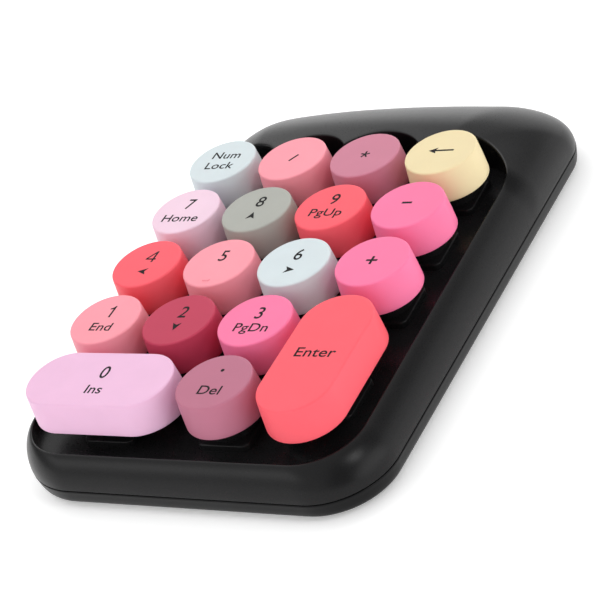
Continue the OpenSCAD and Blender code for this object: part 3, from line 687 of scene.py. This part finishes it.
def build_feet():
    prof = [(0.0, 0.12), (1.6, 0.12), (2.0, 0.02), (2.4, 0.0), (3.75, 0.0), (4.05, 0.06),
            (4.28, 0.22), (4.42, 0.45), (4.48, 0.75), (4.5, 1.1), (4.5, 1.59)]
    parts = []
    for fx, fy in ((-36, -54), (36, -54), (-36, 33), (36, 33)):
        parts.append(loft([at(circle(fx, fy, max(r, 0.02), 64), z) for r, z in prof]))
    piece("feet", join(*parts), foot_mat, "housing", ("rubber_feet",))


build_feet()

# ---------------------------------------------------------------- key deck
singles = [(0, 1), (1, 1), (2, 1), (0, 2), (1, 2), (2, 2), (3, 2), (0, 3), (1, 3), (2, 3),
           (3, 3), (0, 4), (1, 4), (2, 4), (3, 4), (2, 0)]
wide_0, wide_enter = (0.5, 0), (3, 0.5)
all_keys = singles + [wide_0, wide_enter]


def angles_with_slot(n=96):
    a = set(round(2 * math.pi * i / n, 9) for i in range(n))
    s1 = math.atan2(0.7, 4.4)
    s2 = math.asin(0.7 / 3.53)
    for t in (s1, s2):
        for q in (t, math.pi - t, math.pi + t, 2 * math.pi - t):
            a.add(round(q, 9))
            a.add(round(q + (1e-4 if q in (s2, math.pi + s2) else 0), 9))
    return np.array(sorted(a))


SLOT_A = angles_with_slot()


def slot_ring(r=3.53, half=4.4, w=0.7):
    out = []
    for a in SLOT_A:
        c, s = abs(math.cos(a)), abs(math.sin(a))
        rho = r
        if s * r < w + 1e-9 or s * half / max(c, 1e-9) <= w + 1e-9:
            rho = max(r, min(half / max(c, 1e-9), w / max(s, 1e-9)))
        out.append((rho * math.cos(a), rho * math.sin(a)))
    return np.array(out)


def round_ring(r):
    return np.column_stack([r * np.cos(SLOT_A), r * np.sin(SLOT_A)])


def square_ring(half, r):
    """Rounded square sampled along the same angles."""
    out = []
    for a in SLOT_A:
        c, s = abs(math.cos(a)), abs(math.sin(a))
        t = half / max(c, s)
        if t * min(c, s) > half - r:            # in the corner's round
            k = half - r
            b = k * (c + s)
            t = b + math.sqrt(max(0, b * b - 2 * k * k + r * r))
        out.append((t * math.cos(a), t * math.sin(a)))
    return np.array(out)


def pad_and_guide(kx, ky, wide=False):
    # the wide keys' stabiliser bars run close by, so their pads are lower and guides slimmer
    g, d0 = (4.74, -0.24) if wide else (5.2, 0.0)
    rings = [at(slot_ring(), -12.9), at(round_ring(5.58), -12.9), at(round_ring(5.58), -13.08),
             at(square_ring(6.2, 1.6), -13.08), at(square_ring(6.2, 1.6), -11.85 + d0)]
    for a in (30, 60, 90):
        a = math.radians(a)
        d = 0.35 * (1 - math.cos(a))
        rings.append(at(square_ring(6.2 - d, 1.6 - d * 0.6), -11.85 + d0 + 0.35 * math.sin(a)))
    rings += [at(round_ring(g + 0.25), -11.5 + d0), at(round_ring(g + 0.05), -11.42 + d0),
              at(round_ring(g), -11.2 + d0), at(round_ring(g), -6.75),
              at(round_ring(g - 0.05), -6.58), at(round_ring(g - 0.12), -6.5)]
    rings += [at(slot_ring(3.68, 4.5, 0.8), -6.5), at(slot_ring(), -6.68)]
    rings = [r + np.array([kx * P, ky * P, 0]) for r in rings]
    return loft(rings, loop=True)


def build_deck():
    plate = [(0.2, -14.4), (0.0, -14.2), (0.0, -13.15), (0.15, -13.0)]
    shell = loft([at(rrect(well_x0 - 1.6 + d, well_x1 + 1.6 - d, well_y0 - 0.7 + d, 90.3 - d,
                           12.5 - d, 16), z) for d, z in plate])
    holes = [loft([at(circle(k[0] * P, k[1] * P, 5.6, 48), z) for z in (-16.0, -12.0)])
             for k in all_keys]
    holes += [loft([at(circle(x * P, 88, 1.15, 24), z) for z in (-16.0, -12.0)])
              for x in (0.5, 1.5, 2.5)]
    me = cut("deck", shell, holes)
    extra = [pad_and_guide(k[0], k[1], k in (wide_0, wide_enter)) for k in all_keys]
    for s in case_spots:
        extra.append(tube_shell(s[0] * P, s[1] * P, 2.4, 1.1, -18.58, -14.3))
    for s in plate_spots:
        extra.append(tube_shell(s[0] * P, s[1] * P, 1.9, 0.7, -18.58, -14.3))
    # ears for the stabiliser bars
    ears = []
    for k, a in ((wide_0, 0), (wide_enter, 90)):
        ca, sa = math.cos(math.radians(a)), math.sin(math.radians(a))
        for sgn in (-1, 1):
            xc = sgn * 10.5
            y0, y1, z0, z1, hy, hz, r = 3.9, 6.55, -13.05, -9.7, 5.4, -11.0, 0.66
            angs = np.radians(np.arange(0, 360, 15))
            # outer outline met along rays from the hole's centre, so both rims have the same points
            outer = []
            for t in angs:
                c, s_ = math.cos(t), math.sin(t)
                ky = ((y1 - hy) if c > 0 else (hy - y0)) / max(abs(c), 1e-9)
                kz = ((z1 - hz) if s_ > 0 else (hz - z0)) / max(abs(s_), 1e-9)
                q = min(ky, kz)
                outer.append((hy + q * c, hz + q * s_))
            inner = [(hy + r * math.cos(t), hz + r * math.sin(t)) for t in angs]
            rings = []
            for ring, x in ((inner, -0.8), (outer, -0.8), (outer, 0.8), (inner, 0.8)):
                rr = np.array([(xc + x, y, z) for y, z in ring])
                rr = np.column_stack([rr[:, 0] * ca - rr[:, 1] * sa + k[0] * P,
                                      rr[:, 0] * sa + rr[:, 1] * ca + k[1] * P, rr[:, 2]])
                rings.append(rr)
            ears.append(loft(rings, loop=True))
    add_shells(me, join(*extra, *ears))
    # the plate, pads and ears were laid out in the key frame
    co = np.zeros(len(me.vertices) * 3)
    me.vertices.foreach_get("co", co)
    co = K(co.reshape(-1, 3) / MM) * MM
    me.vertices.foreach_set("co", co.ravel())
    me.update()
    piece("deck", None, deck_mat, "housing", ("key_deck",), sharp=35, mesh=me)


build_deck()

# ---------------------------------------------------------------- keys
FLAT, BASE, CAP_H, WALL = 7.84, 8.78, 7.7, 1.3
ROUND = 0.42


def cap_profile():
    """Outer then inner half section of a cap, from the top face to the inside."""
    prof = [(FLAT - 0.75, 0.0), (FLAT - 0.3, 0.0)]
    for a in range(0, 91, 10):
        t = math.radians(a)
        prof.append((FLAT + ROUND * math.sin(t) - 0.02, -ROUND * (1 - math.cos(t))))
    # side, very slightly full
    r0, h0 = FLAT + ROUND - 0.02, -ROUND
    r1, h1 = BASE, -CAP_H + 0.24
    for i in range(1, 9):
        t = i / 8
        prof.append((r0 + (r1 - r0) * t + 0.05 * math.sin(math.pi * t), h0 + (h1 - h0) * t))
    for a in (30, 60, 90):
        t = math.radians(a)
        prof.append((BASE - 0.22 * (1 - math.cos(t)), -CAP_H + 0.24 - 0.24 * math.sin(t)))
    prof += [(BASE - WALL + 0.15, -CAP_H), (BASE - WALL, -CAP_H + 0.15)]
    prof += [(FLAT - WALL + 0.45, -2.4), (FLAT - WALL + 0.3, -1.95), (FLAT - WALL - 0.05, -1.65),
             (FLAT - WALL - 0.5, -1.6), (4.3, -1.6)]
    return prof


def stadium(r, half, n=128):
    a = np.arange(n) * 2 * math.pi / n
    c, s = np.cos(a), np.sin(a)
    off = np.where(np.abs(c) < 1e-9, 0, np.sign(c)) * half
    return np.column_stack([off + r * c, r * s])


def cap_shell(kx, ky, half=0.0, turn=0.0):
    rings = []
    for r, h in cap_profile():
        if half:
            n = 130
            a = (np.arange(n) + 0.5) * 2 * math.pi / n
            ring = np.column_stack([np.sign(np.cos(a)) * half + r * np.cos(a), r * np.sin(a)])
        else:
            ring = circle(0, 0, r, 128)
        if turn:
            ring = np.column_stack([-ring[:, 1], ring[:, 0]])
        rings.append(at(ring + np.array([kx * P, ky * P]), h))
    return loft(rings)


def stem_shell(kx, ky):
    prof = [(1.6, -7.6), (1.6, -13.6), (3.2, -13.6), (3.45, -13.35), (3.45, -2.2), (3.6, -1.75),
            (3.9, -1.5), (1.2, -1.5), (0.05, -1.5), (0.05, -7.6)]
    tube = loft([at(circle(kx * P, ky * P, r, 64), h) for r, h in prof], loop=True)
    x, y = kx * P, ky * P
    ribs = rbox(x - 4.25, x + 4.25, y - 0.6, y + 0.6, -12.7, -1.5, 0.15, 0.08)
    barbs = rbox(x - 0.8, x + 0.8, y - 3.9, y - 1.9, -13.6, -13.0, 0.15, 0.08)
    barbs2 = rbox(x - 0.8, x + 0.8, y + 1.9, y + 3.9, -13.6, -13.0, 0.15, 0.08)
    return join(tube, ribs, barbs, barbs2)


def lugs(kx, ky, turn):
    parts = []
    for s in (-1, 1):
        # C-shaped lug that takes the end of the bar, drawn in its own plane (y, z)
        x0, x1 = s * 11.5 - 0.7, s * 11.5 + 0.7
        out = [(-4.6, -1.5), (-4.6, -8.5), (-1.4, -8.5), (-1.4, -8.25), (-4.1, -8.25),
               (-4.1, -6.7), (-1.4, -6.7), (-1.4, -1.5)]
        ra = np.array([(x0, y, z) for y, z in out])
        rb = np.array([(x1, y, z) for y, z in out])
        if turn:
            ra, rb = [np.column_stack([-q[:, 1], q[:, 0], q[:, 2]]) for q in (ra, rb)]
        o = np.array([kx * P, ky * P, 0])
        parts.append(loft([ra + o, rb + o]))
    return join(*parts)


KEYS = {
    "key_0": (wide_0, "cap_lilac"), "key_decimal": ((2, 0), "cap_mauve"),
    "key_1": ((0, 1), "cap_pink"), "key_2": ((1, 1), "cap_rose"),
    "key_3": ((2, 1), "cap_hot_pink"), "key_4": ((0, 2), "cap_red"),
    "key_5": ((1, 2), "cap_pink"), "key_6": ((2, 2), "cap_ice"),
    "key_plus": ((3, 2), "cap_hot_pink"), "key_7": ((0, 3), "cap_lilac"),
    "key_8": ((1, 3), "cap_grey"), "key_9": ((2, 3), "cap_red"),
    "key_minus": ((3, 3), "cap_hot_pink"), "key_num_lock": ((0, 4), "cap_ice"),
    "key_divide": ((1, 4), "cap_pink"), "key_multiply": ((2, 4), "cap_mauve"),
    "key_backspace": ((3, 4), "cap_cream"), "key_enter": (wide_enter, "cap_red"),
}
TINTS = {"key_7": cap_mat("cap_lilac_pale", (240, 208, 225)),
         "key_decimal": cap_mat("cap_mauve_deep", (186, 116, 138))}
for name, (k, slot) in KEYS.items():
    if name == "key_0":
        part = join(cap_shell(*k, half=P / 2), stem_shell(*k), lugs(*k, False))
    elif name == "key_enter":
        part = join(cap_shell(*k, half=P / 2, turn=90), stem_shell(*k), lugs(*k, True))
    else:
        part = join(cap_shell(*k), stem_shell(*k))
    if name == "key_5":
        # homing bar
        x, y = k[0] * P, k[1] * P - 6.0
        part = join(part, rbox(x - 0.9, x + 0.9, y - 0.3, y + 0.3, -0.2, 0.2, 0.28, 0.16,
                               0.02, n=6, nf=4))
    piece("cap_" + name[4:], move(part, K), TINTS.get(name, CAP[slot]), name, (name,),
          sharp=30)


# ---------------------------------------------------------------- legends
def glyphs(text, cap_h, cx, cy, squeeze=1.0, thin=0.012):
    """Flat lettering as a thin plate in the key frame, centred on (cx, cy), capitals cap_h tall."""
    cu = bpy.data.curves.new("t", "FONT")
    cu.body = text
    cu.size = 1.0
    cu.extrude = 0.5
    cu.offset = thin
    cu.resolution_u = 6
    cu.space_character = 1.02
    ob = bpy.data.objects.new("t", cu)
    bpy.context.scene.collection.objects.link(ob)
    bpy.context.view_layer.update()
    me = bpy.data.meshes.new_from_object(ob.evaluated_get(bpy.context.evaluated_depsgraph_get()))
    bpy.data.objects.remove(ob)
    v = np.zeros(len(me.vertices) * 3)
    me.vertices.foreach_get("co", v)
    v = v.reshape(-1, 3)
    f = [tuple(p.vertices) for p in me.polygons]
    bpy.data.meshes.remove(me)
    k = cap_h / 0.729
    v = v.copy()
    v[:, 0] *= k * squeeze
    v[:, 1] *= k
    mid = (v[:, 0].max() + v[:, 0].min()) / 2
    v[:, 0] += cx - mid
    v[:, 1] += cy - cap_h / 2
    v[:, 2] = np.where(v[:, 2] > 0, 0.025, -0.03)
    return v, f


def flat_shape(pts, cx, cy):
    p = np.asarray(pts, float) + np.array([cx, cy])
    return loft([at(p, -0.03), at(p, 0.025)])


def arrow_head(cx, cy, turn, s=1.08):
    a = math.radians(turn)
    pts = [(0, 1.15), (-1.0, -1.05), (0, -0.5), (1.0, -1.05)]
    pts = [(s * (x * math.cos(a) - y * math.sin(a)), s * (x * math.sin(a) + y * math.cos(a)))
           for x, y in pts]
    return flat_shape(pts, cx, cy)


DIG, SUB = 3.75, 2.65
LEG = {
    "key_num_lock": [("Num", SUB, 0.25, 2.3), ("Lock", SUB, 0.2, -1.7)],
    "key_divide": [],
    "key_multiply": [],
    "key_7": [("7", DIG, 0.15, 2.6), ("Home", SUB, 0.1, -2.6)],
    "key_8": [("8", DIG, 0.1, 2.7)],
    "key_9": [("9", DIG, 0.1, 2.8), ("PgUp", SUB, -0.1, -1.9)],
    "key_minus": [],
    "key_4": [],
    "key_5": [("5", DIG, 0.3, 2.45)],
    "key_6": [("6", DIG, 0.3, 2.5)],
    "key_plus": [],
    "key_1": [("End", SUB, 0.4, -2.5)],
    "key_2": [("2", DIG, 0.25, 2.5)],
    "key_3": [("3", DIG, 0.3, 2.3), ("PgDn", SUB, 0.4, -2.3)],
    "key_enter": [("Enter", SUB + 0.2, 0.2, -0.1)],
    "key_0": [("0", DIG, 0.6, 2.15), ("Ins", SUB, 0.8, -3.1)],
    "key_decimal": [("Del", SUB, 0.4, -2.4)],
    "key_backspace": [],
}


def bar_shape(w, t, turn=0.0, cx=0.0, cy=0.0):
    a = math.radians(turn)
    pts = [(-w / 2, -t / 2), (w / 2, -t / 2), (w / 2, t / 2), (-w / 2, t / 2)]
    return flat_shape([(x * math.cos(a) - y * math.sin(a), x * math.sin(a) + y * math.cos(a))
                       for x, y in pts], cx, cy)


for name, items in LEG.items():
    k = KEYS[name][0]
    kx, ky = k[0] * P, k[1] * P
    parts = [glyphs(t, h, kx + x, ky + y, 0.87 if h == DIG else 1.07, 0.006) for t, h, x, y in items]
    if name == "key_8":
        parts.append(arrow_head(kx + 0.05, ky - 2.45, 0))
    if name == "key_2":
        parts.append(arrow_head(kx + 0.5, ky - 2.3, 180))
    if name == "key_4":
        parts.append(arrow_head(kx + 0.45, ky - 2.8, 90))
    if name == "key_6":
        parts.append(arrow_head(kx + 0.25, ky - 2.7, -90))
    if name == "key_minus":
        parts.append(bar_shape(2.4, 0.6, 0, kx - 0.35, ky + 0.65))
    if name == "key_divide":
        parts.append(bar_shape(2.8, 0.5, 57.4, kx + 0.45, ky + 0.05))
    if name == "key_multiply":
        star, w, arm = [], 0.2, 1.15
        for i in range(5):
            a = math.radians(90 + 72 * i)
            star += [(arm * math.cos(a) + w * math.sin(a), arm * math.sin(a) - w * math.cos(a)),
                     (arm * math.cos(a) - w * math.sin(a), arm * math.sin(a) + w * math.cos(a)),
                     (w / math.sin(math.radians(36)) * math.cos(a + math.radians(36)),
                      w / math.sin(math.radians(36)) * math.sin(a + math.radians(36)))]
        parts.append(flat_shape(star, kx + 0.1, ky + 0.1))
    if name == "key_1":
        h = DIG
        parts.append(flat_shape([(-0.05, 0), (0.4, 0), (0.4, h), (0.12, h), (-0.12, h - 0.4),
                                 (-0.42, h - 0.68), (-0.85, h - 0.8), (-0.85, h - 1.18),
                                 (-0.05, h - 1.02)], kx + 0.35, ky + 2.45 - h / 2))
    if name == "key_4":
        o = (kx + 0.25, ky + 2.35 - DIG / 2)
        parts.append(flat_shape([(0.5, 0), (0.95, 0), (0.95, 0.85), (1.35, 0.85), (1.35, 1.24),
                                 (0.95, 1.24), (0.95, 3.75), (0.55, 3.75), (0.5, 3.68),
                                 (0.5, 1.24), (-1.3, 1.24), (-1.3, 0.85), (0.5, 0.85)], *o))
        parts.append(flat_shape([(-1.3, 1.24), (-0.82, 1.24), (0.5, 3.04), (0.5, 3.68)], *o))
    if name == "key_plus":
        x, y = kx - 0.15, ky + 0.15
        w, t = 1.3, 0.27
        parts.append(flat_shape([(-w, -t), (-t, -t), (-t, -w), (t, -w), (t, -t), (w, -t), (w, t),
                                 (t, t), (t, w), (-t, w), (-t, t), (-w, t)], x, y))
    if name == "key_decimal":
        parts.append(flat_shape(circle(0, 0, 0.42, 20), kx + 0.4, ky + 3.4))
    if name == "key_backspace":
        parts.append(flat_shape([(-3.1, 0), (-1.1, -1.05), (-1.4, -0.26), (3.0, -0.26),
                                 (3.0, 0.26), (-1.4, 0.26), (-1.1, 1.05)], kx + 0.1, ky + 0.35))
    piece("legend_" + name[4:], move(join(*parts), K), legend_mat, name, sharp=30)

# ---------------------------------------------------------------- domes and sheet
stack = (-9.6, 3 * P + 9.6, -10.2, 88, 6)


def build_domes():
    shell = loft([at(rrect(*stack[:4], stack[4], 10), z) for z in (-18.2, -17.6)])
    holes = [loft([at(circle(k[0] * P, k[1] * P, 5.1, 48), z) for z in (-19.5, -16.5)])
             for k in all_keys]
    holes += [loft([at(circle(s[0] * P, s[1] * P, 2.7, 32), z) for z in (-19.5, -16.5)])
              for s in case_spots + plate_spots]
    me = cut("dome_base", shell, holes)
    co = np.zeros(len(me.vertices) * 3)
    me.vertices.foreach_get("co", co)
    me.vertices.foreach_set("co", (K(co.reshape(-1, 3) / MM) * MM).ravel())
    me.update()
    piece("dome_base", None, silicone_mat, "housing", ("dome_sheet",), mesh=me)
    prof = [(0.02, -14.9), (0.02, -13.68), (1.9, -13.66), (2.35, -13.72), (2.5, -13.95), (2.5, -14.4), (3.3, -14.9),
            (4.4, -15.95), (5.02, -16.9), (5.25, -17.5), (5.3, -18.2), (4.8, -18.2), (4.5, -17.0),
            (3.6, -16.0), (2.8, -15.2), (2.3, -15.0), (1.3, -15.0), (1.2, -16.4), (0.02, -16.4)]
    for name, (k, _) in KEYS.items():
        rings = [at(circle(k[0] * P, k[1] * P, r, 48), h) for r, h in prof]
        part = move(loft(rings, loop=True), K)
        o = piece("dome_" + name[4:], part, silicone_mat, "housing", (), sharp=45)
        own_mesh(o)


build_domes()

# ---------------------------------------------------------------- carried-over nodes
LOOKS = {
    "membrane_sheet": film_mat, "backing_plate": sheet_mat, "stabiliser_bar_0": spring_mat,
    "stabiliser_bar_enter": spring_mat, "circuit_board": laminate_mat, "control_chip": chip_mat,
    "radio_crystal": sheet_mat, "board_parts": smd_mat, "tail_clamp": chip_mat,
    "power_switch_body": switch_mat, "power_switch_lever": chip_mat,
    "power_switch_knob": knob_mat, "battery_cell": sleeve_mat, "positive_contact": spring_mat,
    "negative_contact": spring_mat, "battery_lead": chip_mat, "usb_receiver_body": inner_mat,
    "usb_receiver_plug": sheet_mat, "case_screws": screw_mat, "deck_screws": screw_mat,
    "plate_screws": screw_mat, "board_screws": screw_mat,
}
for name, mat in LOOKS.items():
    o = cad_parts[name]
    o.data.materials.clear()
    o.data.materials.append(mat)


# ON and OFF beside the power switch, on the underside
def under_text(text, cap_h, cx, cy):
    v, f = glyphs(text, cap_h, 0, 0, 0.82, 0.0)
    z = np.where(v[:, 2] > 0, 0.975, 1.03)
    return np.column_stack([cx - v[:, 0], cy + v[:, 1], z]), f


piece("switch_marks", join(under_text("ON", 0.95, 41.4, 52.4), under_text("OFF", 0.95, 41.4, 49.0)),
      print_mat, "housing")

# ---------------------------------------------------------------- floor and light
floor_me = bpy.data.meshes.new("floor")
floor_me.from_pydata([(-6, -6, 0), (6, -6, 0), (6, 6, 0), (-6, 6, 0)], [], [(0, 1, 2, 3)])
floor = bpy.data.objects.new("floor", floor_me)
bpy.context.scene.collection.objects.link(floor)
floor_mat = finish_mat("floor_paper", (247, 247, 247), rough=0.8, tone_var=0.006, tone_scale=6,
                       grain=500, grain_h=0.00001, spec=0.2)
floor_bsdf = floor_mat.node_tree.nodes["Principled BSDF"]
floor_bsdf.inputs["Emission Color"].default_value = (1.0, 1.0, 1.0, 1.0)
floor_bsdf.inputs["Emission Strength"].default_value = 0.28
floor_me.materials.append(floor_mat)

world = bpy.data.worlds.new("studio")
bpy.context.scene.world = world
world.use_nodes = True
wn = world.node_tree
bg = wn.nodes["Background"]
tc = node(wn, "ShaderNodeTexCoord")
nrm = node(wn, "ShaderNodeVectorMath", operation="NORMALIZE")
wn.links.new(tc.outputs["Generated"], nrm.inputs[0])
sep = node(wn, "ShaderNodeSeparateXYZ")
wn.links.new(nrm.outputs["Vector"], sep.inputs["Vector"])


def lobe(axis, a, b, lo, hi):
    """Smooth step of the strength between two values of one direction component."""
    n = node(wn, "ShaderNodeMapRange")
    n.interpolation_type = "SMOOTHSTEP"
    for key, val in (("From Min", a), ("From Max", b), ("To Min", lo), ("To Max", hi)):
        n.inputs[key].default_value = val
    wn.links.new(sep.outputs[axis], n.inputs["Value"])
    return n.outputs["Result"]


def combine(op, a, b):
    n = node(wn, "ShaderNodeMath", operation=op)
    wn.links.new(a, n.inputs[0])
    wn.links.new(b, n.inputs[1])
    return n.outputs["Value"]


# bright walls low down, a soft panel to the left and front, one behind and one to the right,
# and a dim ceiling
walls = combine("MULTIPLY", lobe("Z", 0.2, 0.55, 1.05, 0.0), lobe("Y", -0.4, 0.3, 0.35, 1.0))
panel = combine("MULTIPLY", lobe("X", -0.48, -0.12, 1.0, 0.0), lobe("Y", -0.7, 0.6, 1.0, 0.5))
panel = combine("MULTIPLY", panel, lobe("Z", 0.1, 0.42, 0.15, 1.0))
panel = combine("MULTIPLY", panel, lobe("Z", 0.5, 0.8, 2.75, 3.1))
trim = combine("MULTIPLY", lobe("Z", 0.42, 0.58, 0.0, 0.65), lobe("Y", -0.45, 0.0, 1.0, 0.0))
panel = combine("MULTIPLY", panel, combine("SUBTRACT", lobe("Z", -1.0, 1.0, 1.0, 1.0), trim))
rear = combine("MULTIPLY", lobe("Y", 0.75, 0.84, 0.0, 1.9), lobe("Z", 0.5, 0.68, 1.0, 0.0))
side = lobe("X", 0.76, 0.92, 0.0, 2.2)
ceiling = lobe("X", 0.2, 0.5, 0.95, 0.34)
total = combine("MAXIMUM", walls, panel)
total = combine("MAXIMUM", total, rear)
total = combine("MAXIMUM", total, side)
total = combine("MAXIMUM", total, ceiling)
total = combine("MULTIPLY", total, lobe("X", -0.96, -0.64, 0.2, 1.0))
wn.links.new(total, bg.inputs["Strength"])
bg.inputs["Color"].default_value = (1.0, 1.0, 1.0, 1.0)


def area(name, loc, target, size, power, color=(1, 1, 1)):
    d = bpy.data.lights.new(name, "AREA")
    d.shape = "RECTANGLE"
    d.size, d.size_y = size
    d.energy = power
    d.color = color
    o = bpy.data.objects.new(name, d)
    bpy.context.scene.collection.objects.link(o)
    o.location = loc
    o.rotation_mode = "QUATERNION"
    o.rotation_quaternion = (Vector(target) - Vector(loc)).to_track_quat("-Z", "Y")
    return o


area("soft_top", (0.87, -0.18, 0.95), (0, 0, 0), (0.32, 0.32), 2.1)

vs = bpy.context.scene.view_settings
vs.view_transform = "Standard"
vs.look = "None"
vs.exposure = 0.0
vs.gamma = 1.0
